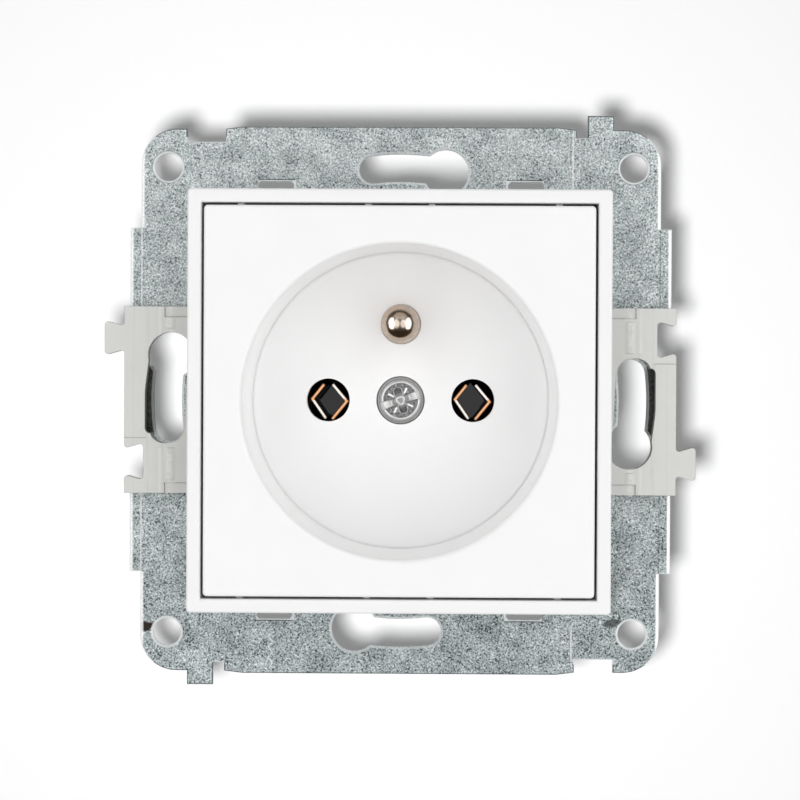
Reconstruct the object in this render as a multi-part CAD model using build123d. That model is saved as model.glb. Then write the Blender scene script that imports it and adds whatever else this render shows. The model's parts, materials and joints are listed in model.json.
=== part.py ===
from build123d import *
import os
from math import asin, cos, radians, sin, sqrt

os.makedirs("parts", exist_ok=True)

# Socket insert with a round recess and an earth pin, in millimetres.
# +X is to the right, +Y is towards the earth pin, +Z points out of the front.
# The origin is the centre of the 60 mm fixing pattern, on the rear face of the steel plate.

# How far a cutting shape runs past what it cuts, and how deep a rib runs into its wall
over = 1.0
weld = 0.3

# Steel mounting plate
plate_thickness = 1.0
plate_half_width = 33.5
plate_half_height = 35.0
plate_corner_r = 4.7
flank_half_width = 34.9
flank_half_height = 22.2
crown_half_width = 20.3
crown_rise = 0.3
crown_ramp = 2.3
edge_roll = 0.35
hole_break = 0.3
crease_width = 0.25
crease_depth = 0.1
opening_margin = 0.6
coupling_notch_clearance = 0.4

# Fixing holes of the plate
fixing_pitch = 60.0
corner_hole_r = 1.8
keyhole_slot_r = 1.8
keyhole_head_r = 2.94
keyhole_slot_angle = 6.9
keyhole_head_angle = 11.1

# Notches and tab on the top edge, repeated by half a turn on the bottom edge
wide_notch_left = -27.6
wide_notch_width = 5.0
wide_notch_depth = 1.7
narrow_notch_left = 22.6
narrow_notch_width = 1.45
narrow_notch_depth = 1.1
stacking_tab_width = 3.35
stacking_tab_rise = 1.8

# Plastic couplers that join neighbouring plates
coupling_pitch = 71.0
coupler_joint_gap = 0.2
coupler_tuck = 0.85
coupler_rim = 1.2
coupler_half_height = 12.0
coupler_outer_rise = 1.6
coupler_middle_rise = 1.45
coupler_inner_rise = 1.35
coupler_pad_step = 0.08
coupler_pad_x = 32.3
coupler_pad_y = 4.87
coupler_slope_x = 30.5
coupler_slope_run = 0.4
coupler_rib_x = 29.5
coupler_rib_foot = 1.3
coupler_rib_crown = 0.4
coupler_rib_rise = 0.12
coupler_rib_spans = [(6.2, 10.2), (-10.6, -9.2)]
coupler_ledge_x = 30.25
coupler_ledge_width = 1.35
coupler_ledge_drop = 0.15
tongue_offset = 7.95
tongue_reach = 2.54
tongue_root_half = 1.5
tongue_tip_half = 2.25
tongue_clearance = 0.1
tongue_corner_r = 0.45
tongue_root_r = 0.4
slot_guard_r = 2.5
slot_guard_x = 29.7
slot_guard_y = 3.5
head_guard_clearance = 0.16
slot_flare = 0.25
slot_flare_rise = 0.7
slot_bulge_x = 32.75
slot_bulge_bottom = -1.0
slot_bulge_top = 4.3
slot_bulge_r = 0.7

# Stakes that rivet the couplers to the plate
stake_r = 0.9
stake_clearance = 0.05
stake_head_r = 1.5
stake_head_thickness = 0.8
inner_stake_set_out = 2.5
inner_stake_y = 8.5
outer_stake_x = 30.5
outer_stake_y = 10.5

# Socket cover with its recess
cover_margin = 4.75
cover_front = 10.5
cover_face = 1.8
cover_skirt = 1.5
cover_skirt_depth = 6.5
cover_corner_r = 0.5
cover_edge_r = 0.4
recess_mouth_r = 19.75
recess_draft = 0.2
recess_depth = 15.0
recess_lip_r = 0.6
recess_floor = 2.0
seam_width = 0.15
cup_wall = 1.5
cup_clearance = 0.45
pin_hole_r = 2.83
pin_spacing = 19.0
stiffener_width = 1.0
stiffener_step = 1.0
stiffener_count = 8
centring_rib_width = 0.8
centring_rib_inner = 4.0
centring_rib_outer = 20.0
centring_clearance = 0.05
centring_rib_drop = 1.8
cover_boss_r = 4.5

# White adapter frame round the cover
cover_gap = 0.35
frame_wall = 1.75
frame_front = 10.1
frame_edge_r = 0.35
frame_corner_r = 0.5
coupler_clearance = 0.3
leg_centre_x = 16.125
leg_width = 4.05
leg_thickness = 0.9
leg_setback = 0.5
leg_side_clearance = 0.3
leg_inner_clearance = 0.15
leg_barb = 0.9
leg_barb_height = 1.6
leg_barb_gap = 0.1
window_release = 1.65
window_corner = 0.35

# Heads and points shared by all the screws
screw_head_edge = 0.35
screw_point = 0.5

# Screw through the recess floor and its nut
cover_screw_head_r = 3.025
cover_screw_flat_r = 2.45
cover_screw_head = 1.7
cover_screw_r = 1.5
cover_screw_length = 17.5
head_clearance = 0.15
shank_clearance = 0.2
nut_width = 5.5
nut_thickness = 2.4
nut_clearance = 0.1
nut_tail = 1.4
driver_slot_width = 1.0
driver_slot_depth = 0.9
driver_cross_width = 0.75
driver_cross_reach = 1.75
driver_turn = 18.0

# Earth pin
earth_pin_y = 10.0
earth_pin_r = 2.4
earth_pin_length = 14.0
earth_pin_dome_r = 1.725
earth_pin_dome = 1.0
earth_pin_chamfer = 0.65
earth_root_r = 2.6
earth_flange_r = 3.75
earth_flange = 1.0
earth_shank_r = 1.9
earth_rivet_r = 2.8
earth_rivet = 0.9
pin_clearance = 0.05
flange_clearance = 0.15

# Retainer disc over the contacts
retainer_thickness = 2.0
retainer_gap = 0.2
retainer_clearance = 0.2
retainer_hole_r = 3.1

# Base housing
housing_wall = 1.3
housing_corner_wall = 5.8
housing_depth = 29.0
housing_edge = 0.8
housing_rear_wall = 1.6
chamber_half_width = 3.6
chamber_half_height = 3.4
chamber_gap = 0.2

# Shallow pockets in the rear of the housing, so that its moulded walls stay even
rear_pocket_wall = 1.8
rear_pocket_rib = 1.2
rear_pocket_depth = 6.0

# Contacts
plug_pin_length = 19.0
plug_pin_room = 0.7
contact_sheet = 0.5
contact_base = 0.8
contact_mouth_gap = 0.3
contact_base_half = 2.9
contact_strap_set = 1.0
right_leaf_line = [(0.4, 2.05), (2.3, -0.2), (0.35, -2.6)]
left_leaf_line = [(-0.75, 2.05), (-2.3, 0.1), (-0.5, -2.5)]

# Terminals, set out from the axis of each terminal screw
terminal_drop = 10.5
terminal_depth = 18.0
terminal_set_out = 3.6
terminal_plate = 0.8
terminal_half = 4.5
terminal_rise = 5.0
clamp_gap = 2.2
clamp_plate = 1.2
clamp_half_height = 4.5
clamp_lip = 0.6
clamp_lip_reach = 0.8
terminal_screw_r = 1.5
terminal_screw_head_r = 2.3
terminal_screw_head = 2.0
terminal_screw_end = 1.0
terminal_room = 0.4
wire_spacing = 5.6
wire_hole_r = 1.9
wire_funnel = 0.5
driver_window_r = 2.7
strap_nose_inset = 0.5

# Screws that hold the plate to the housing
base_screw_set_out = 3.1
base_screw_r = 1.2
base_screw_head_r = 2.4
base_screw_head = 1.6
base_screw_length = 10.0
base_screw_clearance = 0.25
pilot_clearance = 0.05
pilot_spare = 0.5

# Levels and half sizes that follow from the values above
fixing_half = fixing_pitch / 2
recess_floor_r = recess_mouth_r - recess_draft
cover_half = recess_mouth_r + cover_margin
frame_inner_half = cover_half + cover_gap
frame_outer_half = frame_inner_half + frame_wall
cup_r = recess_mouth_r + cup_wall
cavity_r = cup_r + cup_clearance
plate_opening_r = cavity_r + opening_margin
housing_half = cavity_r + housing_wall
housing_round_r = cavity_r + housing_corner_wall
base_screw_offset = (cavity_r + base_screw_set_out) / sqrt(2)
inner_stake_x = housing_half + inner_stake_set_out
keyhole_head_x = fixing_half * cos(radians(keyhole_head_angle))
keyhole_head_y = fixing_half * sin(radians(keyhole_head_angle))
head_guard_r = keyhole_head_r + head_guard_clearance
coupler_inner_x = min(frame_inner_half - coupler_tuck, keyhole_head_x - head_guard_r - coupler_rim)
floor_top = cover_front - recess_depth
floor_under = floor_top - recess_floor
retainer_top = floor_under - retainer_gap
ledge = retainer_top - retainer_thickness
screw_seat = floor_top - cover_screw_head
skirt_bottom = cover_front - cover_skirt_depth
face_under = cover_front - cover_face
contact_top = ledge - contact_mouth_gap
contact_base_top = floor_top - plug_pin_length - plug_pin_room
chamber_floor = contact_base_top - contact_base
pin_x = pin_spacing / 2
housing_rear = -housing_depth
pocket_floor = housing_rear + housing_rear_wall
coupler_edge = (coupling_pitch - coupler_joint_gap) / 2
tongue_tip_x = coupler_edge + tongue_reach
leg_inner = frame_inner_half + leg_setback
leg_outer = leg_inner + leg_thickness
terminal_plate_x = pin_x + terminal_set_out
terminal_back_x = terminal_plate_x + terminal_plate
clamp_x = terminal_back_x + clamp_gap
head_x = clamp_x + clamp_plate
terminal_pocket_end = head_x + terminal_screw_head + terminal_room
nut_top = screw_seat - cover_screw_length + nut_thickness + nut_tail
wire_x = terminal_back_x + clamp_gap / 2
strap_under = ledge - earth_flange
strap_nose_r = terminal_half - strap_nose_inset
base_screw_points = {
    "upper_right_base_screw": (base_screw_offset, base_screw_offset),
    "upper_left_base_screw": (-base_screw_offset, base_screw_offset),
    "lower_left_base_screw": (-base_screw_offset, -base_screw_offset),
    "lower_right_base_screw": (base_screw_offset, -base_screw_offset),
}
coupler_top = plate_thickness + coupler_outer_rise
coupler_inner_top = plate_thickness + coupler_inner_rise


def rect(x0, x1, y0, y1):
    return Pos((x0 + x1) / 2, (y0 + y1) / 2) * Rectangle(x1 - x0, y1 - y0)


def block(x0, x1, y0, y1, z0, z1):
    return Pos((x0 + x1) / 2, (y0 + y1) / 2, (z0 + z1) / 2) * Box(x1 - x0, y1 - y0, z1 - z0)


def slab(sketch, z0, z1):
    return extrude(Pos(0, 0, z0) * sketch, z1 - z0)


def rod(r, z0, z1, x=0.0, y=0.0):
    return Pos(x, y, (z0 + z1) / 2) * Cylinder(r, z1 - z0)


def half_turn_pair(shape):
    return shape + Rot(0, 0, 180) * shape


def four_corners(shape_at, x, y):
    return [shape_at(sx * x, sy * y) for sx in (-1, 1) for sy in (-1, 1)]


def driver_recess(top, reach):
    """Straight slot with a cross recess in it, cut down from the head's top."""
    slot = block(-reach, reach, -driver_slot_width / 2, driver_slot_width / 2, top - driver_slot_depth, top)
    arm = driver_cross_width / 2
    across = block(-arm, arm, -driver_cross_reach, driver_cross_reach, top - driver_slot_depth, top)
    return Rot(0, 0, driver_turn) * (slot + across)


def screw(head_r, flat_r, head, shank_r, length):
    """Pan-head screw with its seat at z = 0 and its shank pointing down."""
    side = head - (head_r - flat_r)
    profile = Polyline(
        (0, -length),
        (shank_r - screw_point, -length),
        (shank_r, -length + screw_point),
        (shank_r, 0),
        (head_r, 0),
        (head_r, side),
        (flat_r, head),
        (0, head),
        (0, -length),
    )
    body = revolve(Plane.XZ * make_face(profile), Axis.Z)
    return body - driver_recess(head, flat_r)


# Mounting plate: one sheet, punched from the front so that its front edges are rolled over
def keyhole():
    arc = CenterArc((0, 0), fixing_half, 90 - keyhole_head_angle, keyhole_head_angle + keyhole_slot_angle)
    head = Pos(keyhole_head_y, keyhole_head_x) * Circle(keyhole_head_r)
    return SlotArc(arc, 2 * keyhole_slot_r) + head


def leg_window(x, y):
    half = leg_width / 2 + leg_side_clearance
    inner = leg_inner - leg_inner_clearance
    outer = frame_outer_half + window_release
    window = rect(-half, half, inner, outer)
    window = chamfer(window.vertices().group_by(Axis.Y)[-1], window_corner)
    turn = 0 if y > 0 else 180
    return Pos(x, 0) * Rot(0, 0, turn) * window


def plate_outline():
    top = plate_half_height
    outline = RectangleRounded(2 * plate_half_width, 2 * top, plate_corner_r)
    outline += Rectangle(2 * flank_half_width, 2 * flank_half_height)
    crown_foot = crown_half_width + crown_ramp
    crest = top + crown_rise
    crown = Polygon((crown_foot, top), (crown_half_width, crest), (0, crest), (0, top), align=None)
    outline += half_turn_pair(crown + mirror(crown, about=Plane.YZ))
    notch_right = narrow_notch_left + narrow_notch_width
    wide = rect(wide_notch_left, wide_notch_left + wide_notch_width, top - wide_notch_depth, top + over)
    narrow = rect(narrow_notch_left, notch_right, top - narrow_notch_depth, top + over)
    tab = rect(notch_right, notch_right + stacking_tab_width, top - over, top + stacking_tab_rise)
    return outline + half_turn_pair(tab) - half_turn_pair(wide + narrow)


def flank_crease():
    """Shallow line where each side flap starts, above and below the coupler."""
    x0 = plate_half_width - crease_width
    z0 = plate_thickness - crease_depth
    line = block(x0, plate_half_width, -flank_half_height, flank_half_height, z0, plate_thickness + over)
    return half_turn_pair(line)


def mounting_plate():
    outline = plate_outline() - half_turn_pair(dovetail_space(coupling_notch_clearance))
    plate = slab(outline, 0, plate_thickness)
    plate = fillet(plate.edges().group_by(Axis.Z)[-1], edge_roll)
    for quarter in range(4):
        plate -= slab(Rot(0, 0, 90 * quarter) * keyhole(), -over, plate_thickness + over)
    for x, y in four_corners(lambda x, y: (x, y), fixing_half, fixing_half):
        plate -= rod(corner_hole_r, -over, plate_thickness + over, x, y)
    rims = [edge for wire in plate.faces().sort_by(Axis.Z)[-1].inner_wires() for edge in wire.edges()]
    plate = chamfer(rims, hole_break)
    plate -= flank_crease()
    plate -= rod(plate_opening_r, -over, plate_thickness + over)
    for window in four_corners(leg_window, leg_centre_x, 1):
        plate -= slab(window, -over, plate_thickness + over)
    screw_hole_r = base_screw_r + base_screw_clearance
    for x, y in base_screw_points.values():
        plate -= rod(screw_hole_r, -over, plate_thickness + over, x, y)
    for x, y in stake_points():
        plate -= half_turn_pair(rod(stake_r + stake_clearance, -over, plate_thickness + over, x, y))
    return plate


# Couplers: a stepped strip with a dovetail tongue and a dovetail notch
def stake_points():
    inner = [(inner_stake_x, side * inner_stake_y) for side in (-1, 1)]
    outer = [(outer_stake_x, side * outer_stake_y) for side in (-1, 1)]
    return inner + outer


def tongue_half(x):
    share = (x - coupler_edge) / tongue_reach
    return tongue_root_half + share * (tongue_tip_half - tongue_root_half)


def dovetail_space(clearance):
    """Room round the neighbour's tongue, one coupling pitch away."""
    wall = coupling_pitch - tongue_tip_x - clearance
    mouth = coupler_edge + over
    inner_half = tongue_half(coupling_pitch - wall) + clearance
    mouth_half = tongue_half(coupling_pitch - mouth) + clearance
    corners = [(wall, -inner_half), (mouth, -mouth_half), (mouth, mouth_half), (wall, inner_half)]
    space = Pos(0, tongue_offset) * Polygon(*corners, align=None)
    return fillet(space.vertices().group_by(Axis.X)[0], tongue_corner_r)


def coupler_outline():
    strip = rect(coupler_inner_x, coupler_edge, -coupler_half_height, coupler_half_height)
    root = coupler_edge - over
    lower = [(root, -tongue_root_half), (coupler_edge, -tongue_root_half), (tongue_tip_x, -tongue_tip_half)]
    upper = [(x, -y) for x, y in reversed(lower)]
    tongue = Pos(0, -tongue_offset) * Polygon(*lower, *upper, align=None)
    tongue = fillet(tongue.vertices().group_by(Axis.X)[-1], tongue_corner_r)
    strip = strip + tongue - dovetail_space(tongue_clearance)
    roots = [v for v in strip.vertices() if abs(v.X - coupler_edge) < tongue_clearance]
    roots = [v for v in roots if abs(v.Y) < coupler_half_height - tongue_root_r]
    return fillet(roots, tongue_root_r) - slot_guard()


def slot_guard():
    """Opening that leaves the plate's keyhole free."""
    head = Pos(keyhole_head_x, -keyhole_head_y) * Circle(head_guard_r)
    end = Pos(slot_guard_x, slot_guard_y) * Circle(slot_guard_r)
    left = slot_guard_x - slot_guard_r
    right = slot_guard_x + slot_guard_r
    middle = rect(left, right, -keyhole_head_y, slot_guard_y)
    flare_y = slot_flare_rise - keyhole_head_y
    bulge = Polygon(
        (slot_guard_x, flare_y),
        (right + slot_flare, flare_y),
        (slot_bulge_x, slot_bulge_bottom),
        (slot_bulge_x, slot_bulge_top),
        (slot_guard_x, slot_bulge_top),
        align=None,
    )
    corner = bulge.vertices().sort_by(Axis.X)[-2:].sort_by(Axis.Y)[-1]
    bulge = fillet(corner, slot_bulge_r)
    return head + end + middle + bulge


def coupler_relief():
    """Stepped cross-section of the strip, carried along its length."""
    low = coupler_inner_top
    mid = plate_thickness + coupler_middle_rise
    start = coupler_inner_x - over
    end = tongue_tip_x + over
    steps = Polyline(
        (start, plate_thickness),
        (start, low),
        (coupler_slope_x, low),
        (coupler_slope_x + coupler_slope_run, mid),
        (coupler_pad_x, mid),
        (coupler_pad_x + coupler_slope_run, coupler_top),
        (end, coupler_top),
        (end, plate_thickness),
        (start, plate_thickness),
    )
    return extrude(Plane.XZ * make_face(steps), coupler_half_height + over, both=True)


def coupler_rib(y0, y1):
    """Low rib with sloping sides, in line with the opening."""
    foot = coupler_rib_foot / 2
    crown = coupler_rib_crown / 2
    top = coupler_inner_top
    section = Polygon(
        (coupler_rib_x - foot, top - weld),
        (coupler_rib_x + foot, top - weld),
        (coupler_rib_x + foot, top),
        (coupler_rib_x + crown, top + coupler_rib_rise),
        (coupler_rib_x - crown, top + coupler_rib_rise),
        (coupler_rib_x - foot, top),
        align=None,
    )
    return extrude(Plane.XZ.offset(-y0) * section, -(y1 - y0))


def right_coupler():
    strip = slab(coupler_outline(), plate_thickness, coupler_top + over)
    strip = strip & coupler_relief()
    for y0, y1 in coupler_rib_spans:
        strip += coupler_rib(y0, y1)
    beyond = tongue_tip_x + over
    pad_top = coupler_top - coupler_pad_step
    strip -= block(coupler_pad_x, beyond, coupler_pad_y, coupler_half_height, pad_top, coupler_top + over)
    ledge_top = coupler_inner_top - coupler_ledge_drop
    ledge_y = coupler_half_height - coupler_ledge_width
    for side in (-1, 1):
        y0, y1 = sorted((side * ledge_y, side * (coupler_half_height + over)))
        strip -= block(coupler_inner_x - over, coupler_ledge_x, y0, y1, ledge_top, coupler_top + over)
    for x, y in stake_points():
        strip += rod(stake_r, 0, plate_thickness, x, y)
        strip += rod(stake_head_r, -stake_head_thickness, 0, x, y)
    return strip


# Adapter frame: four walls, legs that hook under the plate, and an arch over each coupler
def frame_leg():
    top = plate_thickness
    hook = -leg_barb_gap
    tip = hook - leg_barb_height
    side = Polyline(
        (leg_outer, top),
        (leg_outer, tip),
        (leg_inner, tip),
        (leg_inner - leg_barb, hook - leg_barb_height / 3),
        (leg_inner - leg_barb, hook),
        (leg_inner, hook),
        (leg_inner, top),
        (leg_outer, top),
    )
    return extrude(Plane.YZ * make_face(side), leg_width / 2, both=True)


def adapter_frame():
    outer = RectangleRounded(2 * frame_outer_half, 2 * frame_outer_half, frame_corner_r)
    inner = Rectangle(2 * frame_inner_half, 2 * frame_inner_half)
    frame = slab(outer - inner, plate_thickness, frame_front)
    frame = fillet(frame.edges().group_by(Axis.Z)[-1], frame_edge_r)
    half = coupler_half_height + coupler_clearance
    arch_top = coupler_inner_top + coupler_clearance
    reach = frame_outer_half + over
    frame -= block(-reach, reach, -half, half, plate_thickness - over, arch_top)
    for side in (0, 180):
        for x in (-leg_centre_x, leg_centre_x):
            frame += Rot(0, 0, side) * Pos(x, 0, 0) * frame_leg()
    return frame


# Socket cover: square face and skirt, round cup, boss for the screw, stiffeners behind the face
def socket_cover():
    outline = RectangleRounded(2 * cover_half, 2 * cover_half, cover_corner_r)
    shell = slab(outline, skirt_bottom, cover_front)
    shell = fillet(shell.edges().group_by(Axis.Z)[-1], cover_edge_r)
    inner = cover_half - cover_skirt
    shell -= block(-inner, inner, -inner, inner, skirt_bottom - over, face_under)
    side = stiffener_width / 2
    for k in range(stiffener_count):
        angle = 360 / stiffener_count * (k + 0.5)
        reach = inner / max(abs(cos(radians(angle))), abs(sin(radians(angle))))
        web = block(recess_mouth_r, reach + weld, -side, side, skirt_bottom + stiffener_step, face_under)
        shell += Rot(0, 0, angle) * web
    shell += rod(cup_r, floor_under, cover_front - cover_face / 2)
    shell += rod(cover_boss_r, ledge, floor_under)
    wall = Polyline(
        (0, floor_top),
        (recess_floor_r, floor_top),
        (recess_mouth_r, cover_front),
        (recess_mouth_r, cover_front + over),
        (0, cover_front + over),
        (0, floor_top),
    )
    shell -= revolve(Plane.XZ * make_face(wall), Axis.Z)
    front_circles = shell.edges().filter_by(GeomType.CIRCLE).group_by(Axis.Z)[-1]
    mouth = [e for e in front_circles if e.radius > recess_floor_r]
    shell = fillet(mouth, recess_lip_r)
    seam = Circle(recess_floor_r - seam_width / 2) - Circle(recess_floor_r - 1.5 * seam_width)
    shell -= slab(seam, floor_top - seam_width, floor_top + seam_width)
    for x in (-pin_x, pin_x):
        shell -= rod(pin_hole_r, floor_under - over, floor_top + over, x)
    shell -= rod(earth_root_r + pin_clearance, floor_under - over, floor_top + over, 0, earth_pin_y)
    shell -= rod(cover_screw_head_r + head_clearance, screw_seat, floor_top + over)
    shell -= rod(cover_screw_r + shank_clearance, ledge - over, screw_seat)
    proud = cover_gap - centring_clearance
    rib_top = cover_front - centring_rib_drop
    for x in (-centring_rib_outer, -centring_rib_inner, centring_rib_inner, centring_rib_outer):
        x0 = x - centring_rib_width / 2
        x1 = x0 + centring_rib_width
        rib = block(x0, x1, cover_half - weld, cover_half + proud, skirt_bottom, rib_top)
        shell += half_turn_pair(rib)
    return shell


# Earth pin: turned, with a root in the recess floor, a flange under it and a riveted tail
def earth_pin():
    tip = floor_top + earth_pin_length
    shoulder = tip - earth_pin_dome
    flange_top = retainer_top
    flange_under = flange_top - earth_flange
    tail = strap_under - earth_rivet
    sphere_r = (earth_pin_dome_r**2 + earth_pin_dome**2) / (2 * earth_pin_dome)
    half_angle = asin(earth_pin_dome_r / sphere_r) / 2
    dome_mid = (sphere_r * sin(half_angle), tip - sphere_r * (1 - cos(half_angle)))
    side = Polyline(
        (0, tail),
        (earth_rivet_r - earth_rivet / 2, tail),
        (earth_rivet_r, tail + earth_rivet / 2),
        (earth_rivet_r, strap_under),
        (earth_shank_r, strap_under),
        (earth_shank_r, flange_under),
        (earth_flange_r, flange_under),
        (earth_flange_r, flange_top),
        (earth_root_r, flange_top),
        (earth_root_r, floor_top),
        (earth_pin_r, floor_top),
        (earth_pin_r, shoulder - earth_pin_chamfer),
        (earth_pin_dome_r, shoulder),
    )
    dome = ThreePointArc((earth_pin_dome_r, shoulder), dome_mid, (0, tip))
    axis = Line((0, tip), (0, tail))
    pin = revolve(Plane.XZ * make_face([side, dome, axis]), Axis.Z)
    return Pos(0, earth_pin_y, 0) * pin


# Retainer disc: closes the contact chambers under the cup
def contact_retainer():
    disc = rod(cavity_r - retainer_clearance, ledge, retainer_top)
    for x in (-pin_x, pin_x):
        disc -= rod(retainer_hole_r, ledge - over, retainer_top + over, x)
    disc -= rod(cover_boss_r + head_clearance, ledge - over, retainer_top + over)
    disc -= rod(earth_shank_r + pin_clearance, ledge - over, retainer_top + over, 0, earth_pin_y)
    flange_seat = retainer_top - earth_flange
    disc -= rod(earth_flange_r + flange_clearance, flange_seat, retainer_top + over, 0, earth_pin_y)
    return disc


# Terminals: each is set out along +X with the screw's axis on y = 0, then placed
def at_live(shape):
    return Pos(0, -terminal_drop, 0) * shape


def at_neutral(shape):
    return mirror(at_live(shape), about=Plane.YZ)


def at_earth(shape):
    return Rot(0, 0, 90) * shape


terminal_sites = {"live": at_live, "neutral": at_neutral, "earth": at_earth}


def terminal_tab(z0):
    z1 = -terminal_depth + terminal_rise
    low, high = sorted((z0, z1))
    tab = block(terminal_plate_x, terminal_back_x, -terminal_half, terminal_half, low, high)
    return tab - along_x(terminal_screw_r + pilot_clearance, terminal_plate_x - over, head_x)


def along_x(r, x0, x1):
    return Pos((x0 + x1) / 2, 0, -terminal_depth) * Rot(0, 90, 0) * Cylinder(r, x1 - x0)


def clamp():
    z0 = -terminal_depth - clamp_half_height
    z1 = -terminal_depth + clamp_half_height
    plate = block(clamp_x, head_x, -terminal_half, terminal_half, z0, z1)
    for side in (-1, 1):
        y0, y1 = sorted((side * terminal_half, side * (terminal_half - clamp_lip)))
        plate += block(clamp_x - clamp_lip_reach, clamp_x, y0, y1, z0, z1)
    return plate - along_x(terminal_screw_r + pilot_clearance, terminal_back_x, head_x + over)


def terminal_screw():
    length = head_x - terminal_plate_x + terminal_screw_end
    flat_r = terminal_screw_head_r - screw_head_edge
    body = screw(terminal_screw_head_r, flat_r, terminal_screw_head, terminal_screw_r, length)
    return Pos(head_x, 0, -terminal_depth) * Rot(0, 90, 0) * body


def terminal_space():
    half = terminal_half + terminal_room
    start = terminal_plate_x - terminal_screw_end - terminal_room
    space = block(terminal_plate_x - terminal_room / 2, terminal_pocket_end, -half, half, pocket_floor, ledge)
    space += along_x(terminal_screw_r + shank_clearance, start, terminal_plate_x)
    space += along_x(driver_window_r, terminal_pocket_end - over, housing_half + over)
    for y in (-wire_spacing / 2, wire_spacing / 2):
        space += rod(wire_hole_r, housing_rear - over, pocket_floor + over, wire_x, y)
        funnel = Cone(wire_hole_r + wire_funnel, wire_hole_r, wire_funnel)
        space += Pos(wire_x, y, housing_rear + wire_funnel / 2) * funnel
    return space


# Line contacts: two folded leaves that form a diamond round the plug pin, on one strap
def contact(place, side):
    right_leaf = trace(Polyline(*right_leaf_line), contact_sheet)
    left_leaf = trace(Polyline(*left_leaf_line), contact_sheet)
    leaves = slab(Pos(side * pin_x, 0) * (right_leaf + left_leaf), contact_base_top, contact_top)
    foot = contact_base_half
    base = block(pin_x - foot, pin_x + foot, -foot, foot, chamber_floor, contact_base_top)
    strap_end = -terminal_drop - terminal_half
    strap_x = pin_x + contact_strap_set
    base += block(strap_x, terminal_back_x, strap_end, foot, chamber_floor, contact_base_top)
    if side < 0:
        base = mirror(base, about=Plane.YZ)
    return leaves + base + place(terminal_tab(chamber_floor))


def contact_chamber():
    half = chamber_half_width
    space = block(pin_x - half, pin_x + half, -chamber_half_height, chamber_half_height, chamber_floor, ledge)
    strap_end = -terminal_drop - terminal_half - terminal_room
    strap_x = pin_x + contact_strap_set - chamber_gap
    return space + block(strap_x, terminal_back_x, strap_end, chamber_half_height, chamber_floor, ledge)


# Earth strap: from the pin's rivet to the earth terminal
def earth_strap():
    half = terminal_half
    tab_top = -terminal_depth + terminal_rise
    strap = rod(strap_nose_r, strap_under, ledge, earth_pin_y)
    strap += block(earth_pin_y, terminal_back_x, -half, half, strap_under, ledge)
    strap += terminal_tab(-terminal_depth - terminal_rise)
    strap += block(terminal_plate_x, terminal_back_x, -half, half, tab_top, ledge)
    strap -= rod(earth_shank_r + pin_clearance, strap_under - over, ledge + over, earth_pin_y)
    return at_earth(strap)


def earth_strap_space():
    half = terminal_half + terminal_room
    rivet_floor = strap_under - earth_rivet - terminal_room
    space = rod(strap_nose_r + terminal_room, strap_under, ledge, earth_pin_y)
    space += block(earth_pin_y, terminal_back_x, -half, half, strap_under, ledge)
    space += rod(earth_rivet_r + terminal_room, rivet_floor, ledge, earth_pin_y)
    return at_earth(space)


# Base housing: moulded box with a round cavity for the cup and chambers for the live parts
def hexagon(width):
    return RegularPolygon(width / 2, 6, major_radius=False)


def rear_pockets():
    """Two by two pockets in each upper rear quarter, with ribs between them."""
    outer = housing_half - rear_pocket_wall
    left = terminal_half + terminal_room + rear_pocket_wall
    low = chamber_half_height + rear_pocket_wall
    middle_x = (left + outer) / 2
    middle_y = (low + outer) / 2
    rib = rear_pocket_rib / 2
    quarter = rect(left, outer, low, outer) & Circle(housing_round_r - rear_pocket_wall)
    quarter -= rect(middle_x - rib, middle_x + rib, low, outer)
    quarter -= rect(left, outer, middle_y - rib, middle_y + rib)
    pockets = slab(quarter, housing_rear - over, housing_rear + rear_pocket_depth)
    return pockets + mirror(pockets, about=Plane.YZ)


def base_housing():
    outline = Rectangle(2 * housing_half, 2 * housing_half) & Circle(housing_round_r)
    housing = slab(outline, housing_rear, 0)
    housing = chamfer(housing.edges().group_by(Axis.Z)[0], housing_edge)
    housing -= rod(cavity_r, ledge, over)
    for place in terminal_sites.values():
        housing -= place(terminal_space())
    housing -= contact_chamber()
    housing -= mirror(contact_chamber(), about=Plane.YZ)
    housing -= earth_strap_space()
    housing -= rear_pockets()
    housing -= rod(cover_screw_r + shank_clearance, nut_top - over, ledge + over)
    housing -= slab(hexagon(nut_width + 2 * nut_clearance), housing_rear - over, nut_top)
    pilot_end = plate_thickness - base_screw_length - pilot_spare
    for x, y in base_screw_points.values():
        housing -= rod(base_screw_r + pilot_clearance, pilot_end, over, x, y)
    return housing


def cover_screw():
    body = screw(cover_screw_head_r, cover_screw_flat_r, cover_screw_head, cover_screw_r, cover_screw_length)
    return Pos(0, 0, screw_seat) * body


def cover_screw_nut():
    bore = Circle(cover_screw_r + pilot_clearance)
    return slab(hexagon(nut_width) - bore, nut_top - nut_thickness, nut_top)


def base_screws():
    flat_r = base_screw_head_r - screw_head_edge
    body = screw(base_screw_head_r, flat_r, base_screw_head, base_screw_r, base_screw_length)
    return {name: Pos(x, y, plate_thickness) * body for name, (x, y) in base_screw_points.items()}


nodes = {
    "mounting_plate": mounting_plate(),
    "right_coupler": right_coupler(),
    "left_coupler": Rot(0, 0, 180) * right_coupler(),
    "adapter_frame": adapter_frame(),
    "socket_cover": socket_cover(),
    "cover_screw": cover_screw(),
    "cover_screw_nut": cover_screw_nut(),
    "earth_pin": earth_pin(),
    "contact_retainer": contact_retainer(),
    "base_housing": base_housing(),
    "live_contact": contact(at_live, 1),
    "neutral_contact": contact(at_neutral, -1),
    "earth_strap": earth_strap(),
}
for site, place in terminal_sites.items():
    nodes[site + "_clamp_plate"] = place(clamp())
    nodes[site + "_terminal_screw"] = place(terminal_screw())
nodes.update(base_screws())

for name, solid in nodes.items():
    export_step(solid, f"parts/{name}.step")
    print(name, round(solid.volume, 1))
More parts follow.
